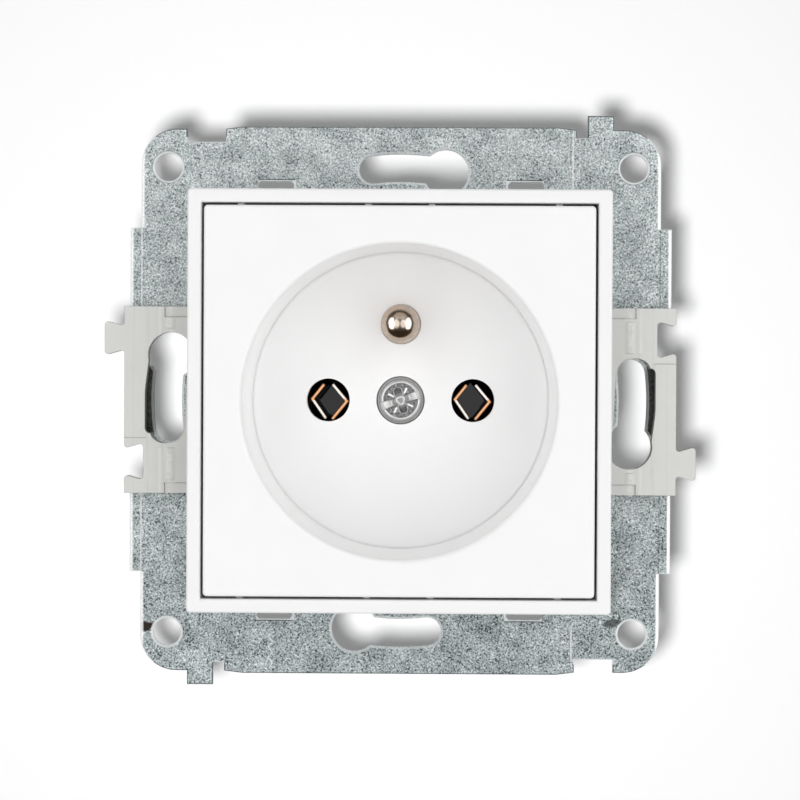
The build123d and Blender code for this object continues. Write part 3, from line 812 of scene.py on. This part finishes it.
def makePiece(name, patches, turn, place, slot, node, tones=None, ring=None):
    # joins the patches, turns them by a matrix of three directions, and closes seams and poles;
    # the ring names a fine and a coarse patch that a flat ring of faces joins
    starts = np.cumsum([0] + [patch.shape[0] * patch.shape[1] for patch in patches])
    points = np.concatenate([patch.reshape(-1, 3) for patch in patches]) @ np.asarray(turn, float)
    faces = []
    for patch, start in zip(patches, starts):
        faces += (gridQuads(*patch.shape[:2]) + start).tolist()
    if ring:
        outer, inner = ring
        outerColumns, innerColumns = patches[outer].shape[1], patches[inner].shape[1]
        lastRow = starts[outer] + (patches[outer].shape[0] - 1) * outerColumns
        faces += stepRing(lastRow, outerColumns, starts[inner], innerColumns).tolist()
    mesh = bpy.data.meshes.new(name)
    mesh.from_pydata((points + np.asarray(place)) * mm, [], faces)
    if tones is not None:
        values = np.concatenate([tone.ravel() for tone in tones]).astype(np.float32)
        mesh.attributes.new("tone", "FLOAT", "POINT").data.foreach_set("value", values)
    work = bmesh.new()
    work.from_mesh(mesh)
    bmesh.ops.remove_doubles(work, verts=work.verts, dist=pieceLook["joinDistance"])
    bmesh.ops.recalc_face_normals(work, faces=work.faces)
    work.to_mesh(mesh)
    work.free()
    mesh.shade_smooth()
    mesh.set_sharp_from_angle(angle=np.radians(pieceLook["sharpAngle"]))
    mesh.materials.append(finishes[slot] if tones is None else tonedMetal)
    piece = addThing(name, mesh)
    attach(piece, "root")
    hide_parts(node)
    return piece


def circleOf(columns):
    angle = 2 * np.pi * np.arange(columns) / columns
    return np.cos(angle), np.sin(angle)


def lathe(profile, columns):
    # points of (radius, height) turned round the Z axis
    radius, height = np.asarray(profile, float).T
    cosine, sine = circleOf(columns)
    pairs = ((radius, cosine), (radius, sine), (height, np.ones(columns)))
    return np.stack([np.outer(*pair) for pair in pairs], -1)


def roundProfile(points, cuts, steps=5):
    # each inner corner becomes a short curve that starts and ends its cut away from the corner
    points = [np.asarray(point, float) for point in points]
    share = np.linspace(0, 1, steps)[:, None]
    out = [points[0]]
    for before, corner, after, cut in zip(points, points[1:], points[2:], cuts):
        if cut == 0:
            out.append(corner)
            continue
        first = corner + cut * (before - corner) / np.linalg.norm(before - corner)
        last = corner + cut * (after - corner) / np.linalg.norm(after - corner)
        out.extend((1 - share) ** 2 * first + 2 * share * (1 - share) * corner + share**2 * last)
    out.append(points[-1])
    return np.array(out)


def threadedShank(radius, depth, pitch, top, bottom, columns):
    # the radius dips by a triangle wave of height and angle, which fades out at both ends
    rows = int((top - bottom) / pitch * screwLook["rowsPerTurn"]) + 1
    height = np.linspace(top, bottom, rows)[:, None] * np.ones(columns)
    angle = np.ones(rows)[:, None] * np.arange(columns) / columns
    wave = np.abs(2 * ((height / pitch - angle) % 1) - 1)
    fade = np.clip(np.minimum(top - height, height - bottom) / pitch, 0, 1)
    reach = radius - depth * (1 - wave) * fade
    cosine, sine = circleOf(columns)
    return np.stack((reach * cosine, reach * sine, height), -1)


def bell(value, width):
    return np.exp(-((value / width) ** 2))


def edgeStep(value, width):
    # 0 below zero, 1 above, over a soft step of the given width
    return 0.5 + 0.5 * np.tanh(value / width)


def ripple(first, second):
    # uneven hammered look from a few crossing waves, between about -1 and 1
    waves = [(9.1, 3.7, 0.4), (-5.3, 8.9, 1.9), (12.7, -7.1, 3.1), (4.1, 13.9, 4.4), (-15.1, -4.9, 5.2)]
    total = 0
    for firstRate, secondRate, start in waves:
        total = total + np.sin(firstRate * first + secondRate * second + start)
    return total / 2.4


driverLook = {
    "scaleRim": 3.025,
    "turn": 18.0,
    "edgeWidth": 0.03,
    "lip": 2.36,
    "lipHeight": 0.05,
    "ring": (2.45, 0.575),
    "disc": 2.28,
    "discDepth": 0.1,
    "hammerDepth": 0.025,
    "slotDepth": 0.62,
    "slotRise": 0.3,
    "riseLength": 0.9,
    "crossDepth": 0.85,
    "well": 0.95,
    "pipHeight": 0.25,
    "tickHeight": 0.06,
    "slotHalf": 0.52,
    "slotReach": 2.58,
    "flankReach": 1.28,
    "lobeHalf": 0.5,
    "lobeReach": 1.72,
    "pip": 0.5,
    "tickFrom": 0.98,
    "tickTo": 1.82,
    "tickHalf": 0.11,
}
headTonesAndPaintedLight = {
    "ring": 0.46,
    "disc": 0.22,
    "lip": 0.9,
    "slot": 0.38,
    "cross": 0.16,
    "well": 0.34,
    "ridge": 0.95,
}


def headSurface(rim, flat, columns, rows):
    # height of the head's top, in polar steps: sloped ring, raised lip, hammered disc, slot, cross and ticks
    look = driverLook
    edge = look["edgeWidth"]
    radius = np.concatenate(([0.0], np.linspace(0.04, flat, rows), np.linspace(flat, rim, 8)[1:]))
    radius = radius[:, None] * np.ones(columns)
    cosine, sine = circleOf(columns)
    x, y = radius * cosine, radius * sine
    turn = np.radians(look["turn"])
    scale = rim / look["scaleRim"]
    along = (x * np.cos(turn) + y * np.sin(turn)) / scale
    across = (-x * np.sin(turn) + y * np.cos(turn)) / scale
    away = radius / scale
    lipRadius = look["lip"] + 0.03 * np.sin(5 * np.arctan2(y, x) + 1.0)
    lip = bell(away - lipRadius, 0.08)
    ringFrom, ringWidth = look["ring"]
    ring = np.clip((away - ringFrom) / ringWidth, 0, 1)
    height = -ringWidth * ring**1.15 + 0.02 * np.sin(ring * 14) * (ring > 0)
    disc = edgeStep(look["disc"] - away, edge)
    rough = ripple(along, across)
    height = height + look["lipHeight"] * lip - disc * (look["discDepth"] + look["hammerDepth"] * rough)
    # slot: level flanks round the middle, rising towards its ends, with fine streaks along it
    slot = edgeStep(look["slotHalf"] - np.abs(across), edge)
    slot = slot * edgeStep(look["slotReach"] - np.abs(along), edge)
    rise = np.clip((np.abs(along) - look["flankReach"]) / look["riseLength"], 0, 1)
    streak = np.sin(26 * across + 2 * np.sin(3 * along))
    slotFloor = -look["slotDepth"] + look["slotRise"] * rise + 0.02 * streak * rise
    height = height * (1 - slot) + slotFloor * slot
    # cross lobes: round-ended, deeper than the slot, with a raised burr
    lobeEnd = np.maximum(np.abs(across) - (look["lobeReach"] - look["lobeHalf"]), 0)
    lobeGap = np.hypot(along, lobeEnd) - look["lobeHalf"]
    lobe = edgeStep(-lobeGap, edge)
    burr = bell(lobeGap - 0.04, 0.06) * (1 - slot)
    height = height * (1 - lobe) + (0.02 * rough - look["crossDepth"]) * lobe + 0.05 * burr
    # round well in the middle with a raised ridge
    well = edgeStep(look["well"] - away, 0.1)
    height = height * (1 - well) - look["crossDepth"] * well
    pip = bell(away - look["pip"] - 0.06 * np.sin(3 * np.arctan2(across, along)), 0.17)
    height = height + look["pipHeight"] * pip
    ticks = 0
    for quarter in range(4):
        angle = np.radians(45 + 90 * quarter)
        out = along * np.cos(angle) + across * np.sin(angle)
        side = -along * np.sin(angle) + across * np.cos(angle)
        reach = edgeStep(out - look["tickFrom"], edge) * edgeStep(look["tickTo"] - out, edge)
        ticks = ticks + reach * edgeStep(look["tickHalf"] - np.abs(side), edge)
    height = height + look["tickHeight"] * ticks * (1 - lobe)
    # tone of the metal, from dark at 0 to bright at 1: painted shade in the cross and the well, painted
    # highlights on the lip, flank lines, burr, pip and ticks
    tones = headTonesAndPaintedLight
    tone = tones["ring"] + 0.06 * np.sin(ring * 9) + 0.1 * (ring > 0.85)
    tone = tone * (1 - disc) + (tones["disc"] + 0.11 * rough) * disc
    tone = tone + lip * (tones["lip"] - tone)
    slotTone = tones["slot"] + rise * (0.22 + 0.12 * streak)
    tone = tone * (1 - slot) + slotTone * slot
    flankLine = bell(np.abs(along) - look["flankReach"] + 0.05, 0.07)
    flankLine = flankLine * edgeStep(0.3 - np.abs(across), 0.05)
    tone = tone + flankLine * (1 - tone)
    tone = tone * (1 - lobe) + (tones["cross"] + 0.06 * rough) * lobe
    tone = tone * (1 - well) + tones["well"] * well
    tone = np.maximum(tone, tones["ridge"] * burr)
    tone = tone + pip * (tones["ridge"] - tone)
    tone = tone + ticks * (1 - lobe) * (1 - tone)
    return np.stack((x, y, scale * height), -1), np.clip(tone, 0, 1)


tonedMetalLook = {
    "stops": [(0.0, grey(0.06)), (0.3, grey(0.26)), (0.6, grey(0.74)), (1.0, grey(1.0))],
    "speckle": 0.16 * mm,
    "speckleShare": 0.35,
    "roughness": (0.55, 0.28),
    "metallic": 0.85,
    "relief": 0.01 * mm,
}


def tonedMetalFinish():
    look = tonedMetalLook
    material, shader = newMaterial("screwSteelWithPaintedLight")
    tone = addNode("ShaderNodeAttribute", attribute_name="tone").outputs["Fac"]
    speckle = noise(objectPoint(), look["speckle"], 3.0, 0.6)
    mixed = maths("ADD", tone, wobble(speckle, look["speckleShare"]))
    link(ramp(mixed, look["stops"]), shader.inputs["Base Color"])
    link(mapRange(tone, 0.0, 1.0, *look["roughness"]), shader.inputs["Roughness"])
    shader.inputs["Metallic"].default_value = look["metallic"]
    relief(shader, speckle, look["relief"])
    return material


tonedMetal = tonedMetalFinish()

# each head's rim, flat and height, then its thread's radius, depth and pitch, in millimetres
screwSizes = {
    "cover": {"head": (3.025, 2.45, 1.7), "thread": (1.5, 0.28, 0.5), "columns": (192, 48), "rows": 56},
    "terminal": {"head": (2.3, 1.95, 2.0), "thread": (1.5, 0.28, 0.5), "columns": (96, 48), "rows": 26},
    "base": {"head": (2.4, 2.05, 1.6), "thread": (1.2, 0.25, 0.9), "columns": (96, 48), "rows": 26},
}
screwLook = {
    "neck": 0.6,
    "pointCut": 0.5,
    "underHead": 0.3,
    "rimCut": 0.12,
    "rowsPerTurn": 6,
    "shankTone": 0.55,
}


def makeScrew(name, node, kind, direction):
    # head, under-head ring, threaded shank and chamfered point along one axis, then turned to the direction
    size = screwSizes[kind]
    rim, flat, head = size["head"]
    shankRadius, depth, pitch = size["thread"]
    headColumns, shankColumns = size["columns"]
    look = screwLook
    low, high = (np.array(corner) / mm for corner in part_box(node))
    direction = np.array(direction, float)
    length = np.abs((high - low) @ direction)
    middle = (low + high) / 2
    seat = middle + direction * (length / 2 - head)
    side = np.array((0, 0, 1.0)) if direction[2] == 0 else np.array((1.0, 0, 0))
    turn = np.stack((side, np.cross(direction, side), direction))
    top, tone = headSurface(rim, flat, headColumns, size["rows"])
    top[..., 2] += head
    wallLine = [top[-1, 0, ::2], (rim, 0), (shankRadius + look["underHead"], 0)]
    wall = lathe(roundProfile(wallLine, [look["rimCut"]]), headColumns)
    tip = head - length
    cut = look["pointCut"]
    shank = threadedShank(shankRadius, depth, pitch, -look["neck"], tip + cut, shankColumns)
    neck = lathe([(shankRadius, 0), (shankRadius, -look["neck"])], shankColumns)
    point = lathe([(shankRadius, tip + cut), (shankRadius - cut, tip), (0, tip)], shankColumns)
    patches = [top, wall, neck, shank, point]
    tones = [tone] + [np.full(patch.shape[:2], look["shankTone"]) for patch in patches[1:]]
    makePiece(name, patches, turn, seat, "plated_steel", node, tones, ring=(1, 2))


makeScrew("crossSlotScrew", "cover_screw", "cover", (0, 0, 1))
for site, direction in (("live", (1, 0, 0)), ("neutral", (-1, 0, 0)), ("earth", (0, 1, 0))):
    makeScrew(f"{site}BindingScrew", f"{site}_terminal_screw", "terminal", direction)
for corner in ("upper_right", "upper_left", "lower_left", "lower_right"):
    makeScrew(corner.title().replace("_", "") + "PlateScrew", f"{corner}_base_screw", "base", (0, 0, 1))
print("screws done")


windowLook = {
    "end": (29.7, 3.5),
    "endRadius": 2.5,
    "newRadius": 2.0,
    "wall": 27.2,
    "newWall": 27.9,
    "head": (29.439, -5.776),
    "headRadius": 3.1,
    "newHead": 2.9,
    "fullUntil": 0.6,
    "near": 0.03,
}


def tightWindow(points):
    # draws in the window's wall, its head and its round end, which shrinks more on its inner side
    look = windowLook
    x, y = points[:, 0], points[:, 1]
    offset = np.stack((x, y), -1) - look["end"]
    reach = np.hypot(*offset.T)
    angle = np.arctan2(offset[:, 1], offset[:, 0])
    onEnd = (np.abs(reach - look["endRadius"]) < look["near"]) & (y > look["end"][1] - look["near"])
    share = np.clip(angle - look["fullUntil"], 0, 1)
    radius = look["endRadius"] + share * (look["newRadius"] - look["endRadius"])
    onWall = (np.abs(x - look["wall"]) < look["near"]) & (y < look["end"][1] + look["near"])
    headReach = np.hypot(x - look["head"][0], y - look["head"][1])
    onHead = np.abs(headReach - look["headRadius"]) < look["near"]
    headShare = look["newHead"] / look["headRadius"]
    moved = points.copy()
    moved[onEnd, :2] = look["end"] + offset[onEnd] / reach[onEnd, None] * radius[onEnd, None]
    moved[onWall & ~onEnd, 0] = look["newWall"]
    moved[onHead, :2] = look["head"] + (points[onHead, :2] - look["head"]) * headShare
    print("window corners", onEnd.sum(), onWall.sum(), onHead.sum())
    return moved


def makeCoupler(name, node, side):
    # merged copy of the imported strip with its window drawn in
    work = bmesh.new()
    work.from_mesh(frame["nodes"][node].data)
    bmesh.ops.remove_doubles(work, verts=work.verts, dist=joinDistance)
    mesh = bpy.data.meshes.new(name)
    work.to_mesh(mesh)
    work.free()
    points = np.empty(3 * len(mesh.vertices), np.float32)
    mesh.vertices.foreach_get("co", points)
    points = points.reshape(-1, 3) / mm
    half = np.array((side, side, 1.0))
    moved = tightWindow(points * half) * half
    mesh.vertices.foreach_set("co", (moved * mm).astype(np.float32).ravel())
    mesh.update()
    mesh.shade_flat()
    mesh.materials.clear()
    mesh.materials.append(finishes["grey_plastic"])
    piece = addThing(name, mesh)
    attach(piece, "root")
    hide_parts(node)


makeCoupler("rightJoiner", "right_coupler", 1)
makeCoupler("leftJoiner", "left_coupler", -1)
print("couplers done")


earthLook = {
    "pin": 2.4,
    "foot": 0.3,
    "dome": 1.8,
    "domeHeight": 0.72,
    "chamfer": 0.62,
    "length": 14.0,
    "lean": (0.04, -0.2),
    "root": 2.6,
    "flange": 3.75,
    "flangeThickness": 1.0,
    "shank": 1.9,
    "rivet": 2.8,
    "rivetThickness": 0.9,
    "strap": 1.0,
    "cuts": (0.18, 0.1, 0.08, 0.0, 0.1, 0.1, 0.0, 0.0, 0.1, 0.2, 0.2),
    "columns": 128,
}


def makeEarthPin():
    # turned profile from the middle of the dome down to the riveted tail; the dome is part of a ball
    look = earthLook
    low, high = (np.array(corner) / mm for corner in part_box("earth_pin"))
    tip, tail = high[2], low[2]
    strapUnder = tail + look["rivetThickness"]
    flangeUnder = strapUnder + look["strap"] + look["flangeThickness"]
    flangeTop = flangeUnder + look["flangeThickness"]
    ball = (look["dome"] ** 2 + look["domeHeight"] ** 2) / (2 * look["domeHeight"])
    sweep = np.linspace(0, np.arcsin(look["dome"] / ball), 26)
    dome = np.stack((ball * np.sin(sweep), tip - ball * (1 - np.cos(sweep))), -1)
    shoulder = tip - look["domeHeight"]
    corners = [
        dome[-1],
        (look["pin"], shoulder - look["chamfer"]),
        (look["pin"], tip - look["length"] + look["foot"]),
        (look["root"], tip - look["length"]),
        (look["root"], flangeTop),
        (look["flange"], flangeTop),
        (look["flange"], flangeUnder),
        (look["shank"], flangeUnder),
        (look["shank"], strapUnder),
        (look["rivet"], strapUnder),
        (look["rivet"], tail + look["rivetThickness"] / 2),
        (look["rivet"] - look["rivetThickness"] / 2, tail),
        (0, tail),
    ]
    rest = roundProfile(corners, look["cuts"], 4)
    profile = np.concatenate((dome, rest[1:]))
    middle = (low + high) / 2
    surface = lathe(profile, look["columns"])
    # a slight lean above the recess floor
    lift = np.clip((surface[..., 2] - tip + look["length"]) / look["length"], 0, 1)
    surface[..., 0] += look["lean"][0] * lift
    surface[..., 1] += look["lean"][1] * lift
    place = (middle[0], middle[1], 0)
    return makePiece("earthContactPin", [surface], np.eye(3), place, "nickel_plate", "earth_pin")


earthPin = makeEarthPin()
print("earth pin done")


def lookTurn(place, aim, roll=0.0):
    # points -Z from place to aim, with the picture's top towards +Y, then rolls by some degrees
    back = (Vector(place) - Vector(aim)).normalized()
    right = Vector((0, 1, 0)).cross(back).normalized()
    turn = Matrix((right, back.cross(right), back)).transposed()
    return (turn @ Matrix.Rotation(np.radians(roll), 3, "Z")).to_euler()


# camera: straight above, a little right of and above the middle
cameraLook = {
    "place": (3.7 * mm, 3.1 * mm, 300.4 * mm),
    "aim": (0.0, 0.095 * mm, 1 * mm),
    "roll": 0.27,
    "lens": 104.5,
    "clip": 0.01,
}
camera = addThing("camera", bpy.data.cameras.new("camera"))
camera.location = cameraLook["place"]
camera.rotation_euler = lookTurn(cameraLook["place"], cameraLook["aim"], cameraLook["roll"])
camera.data.lens = cameraLook["lens"]
camera.data.clip_start = cameraLook["clip"]
bpy.context.scene.camera = camera

# pale floor, tall soft boxes at the sides, weak fill, and one light for the floor's shadow
stageLook = {
    "floorSize": 3.0,
    "floorTone": 0.93,
    "floorGlow": 0.15,
    "floorRoughness": 0.9,
    "world": 0.12,
}
boxLook = {
    "distance": 0.9,
    "outer": {"tilt": 54.0, "size": (0.75, 1.4), "power": {"left": 3.7, "right": 4.7}},
    "inner": {"tilt": 23.0, "size": (0.35, 1.5), "power": {"left": 2.45, "right": 2.45}},
}
fillLook = {
    "topFill": {"place": (0.0, 0.75, 0.62), "size": (0.9, 0.3), "power": 1.1},
    "bottomFill": {"place": (0.0, -0.75, 0.62), "size": (0.9, 0.3), "power": 1.6},
}
# lights that only the earth pin reflects: two broad side patches and a faint sheen round its dome
sheenLook = {
    "leftPatch": {"place": (-0.67, 0.0, 0.6), "size": (0.5, 1.0), "power": 4.6},
    "rightPatch": {"place": (0.67, 0.0, 0.6), "size": (0.5, 1.0), "power": 4.6},
    "leftSheen": {"place": (-0.3, 0.0, 0.85), "size": (0.55, 0.75), "power": 1.3},
    "rightSheen": {"place": (0.3, 0.0, 0.85), "size": (0.55, 0.75), "power": 1.3},
    "topSheen": {"place": (0.0, 0.68, 0.72), "size": (1.3, 0.7), "power": 1.3},
}
shadowLook = {
    "shift": (-18.2 * mm, -19.5 * mm, 0.0),
    "size": 31 * mm,
    "power": 0.9,
}


def addFloor():
    half = stageLook["floorSize"] / 2
    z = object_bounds()[0][2]
    mesh = bpy.data.meshes.new("floor")
    corners = [(-half, -half, z), (half, -half, z), (half, half, z), (-half, half, z)]
    mesh.from_pydata(corners, [], [(0, 1, 2, 3)])
    floor = addThing("floor", mesh)
    material, shader = newMaterial("floorPaper")
    shader.inputs["Base Color"].default_value = (*grey(stageLook["floorTone"]), 1)
    shader.inputs["Roughness"].default_value = stageLook["floorRoughness"]
    shader.inputs["Specular IOR Level"].default_value = 0.0
    shader.inputs["Emission Color"].default_value = (1, 1, 1, 1)
    shader.inputs["Emission Strength"].default_value = stageLook["floorGlow"]
    mesh.materials.append(material)
    floor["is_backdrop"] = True
    return floor


def addLight(name, place, size, power, shape="RECTANGLE"):
    # area light that points at the middle of the part
    data = bpy.data.lights.new(name, "AREA")
    data.shape = shape
    data.size, data.size_y = size
    data.energy = power
    lamp = addThing(name, data)
    lamp.location = place
    lamp.rotation_euler = lookTurn(place, (0, 0, 0))
    return lamp


def shineOn(lamp, things, only):
    # a light that reaches only the given things, or all but them
    receivers = bpy.data.collections.new(lamp.name + "Receivers")
    lamp.light_linking.receiver_collection = receivers
    for thing in things:
        receivers.objects.link(thing)
    for entry in receivers.collection_objects:
        entry.light_linking.link_state = "INCLUDE" if only else "EXCLUDE"


floor = addFloor()
dimmed = [floor, earthPin]
for side, hand in ((-1, "left"), (1, "right")):
    for ring in ("outer", "inner"):
        look = boxLook[ring]
        tilt = np.radians(look["tilt"])
        place = (side * boxLook["distance"] * np.sin(tilt), 0.0, boxLook["distance"] * np.cos(tilt))
        lamp = addLight(f"{hand}{ring.title()}Box", place, look["size"], look["power"][hand])
        shineOn(lamp, dimmed, False)
for name, look in fillLook.items():
    shineOn(addLight(name, look["place"], look["size"], look["power"]), dimmed, False)
for name, look in sheenLook.items():
    shineOn(addLight(name, look["place"], look["size"], look["power"], "ELLIPSE"), [earthPin], True)
shadowPlace = Vector(cameraLook["place"]) + Vector(shadowLook["shift"])
shadowSize = (shadowLook["size"], shadowLook["size"])
shadowLight = addLight("shadowLight", shadowPlace, shadowSize, shadowLook["power"], "DISK")
shineOn(shadowLight, [floor], True)

world = bpy.data.worlds.new("studio")
world.use_nodes = True
background = world.node_tree.nodes["Background"]
background.inputs["Color"].default_value = (1, 1, 1, 1)
background.inputs["Strength"].default_value = stageLook["world"]
bpy.context.scene.world = world
bpy.context.scene.view_settings.view_transform = "Standard"
print("camera, floor and lights done")
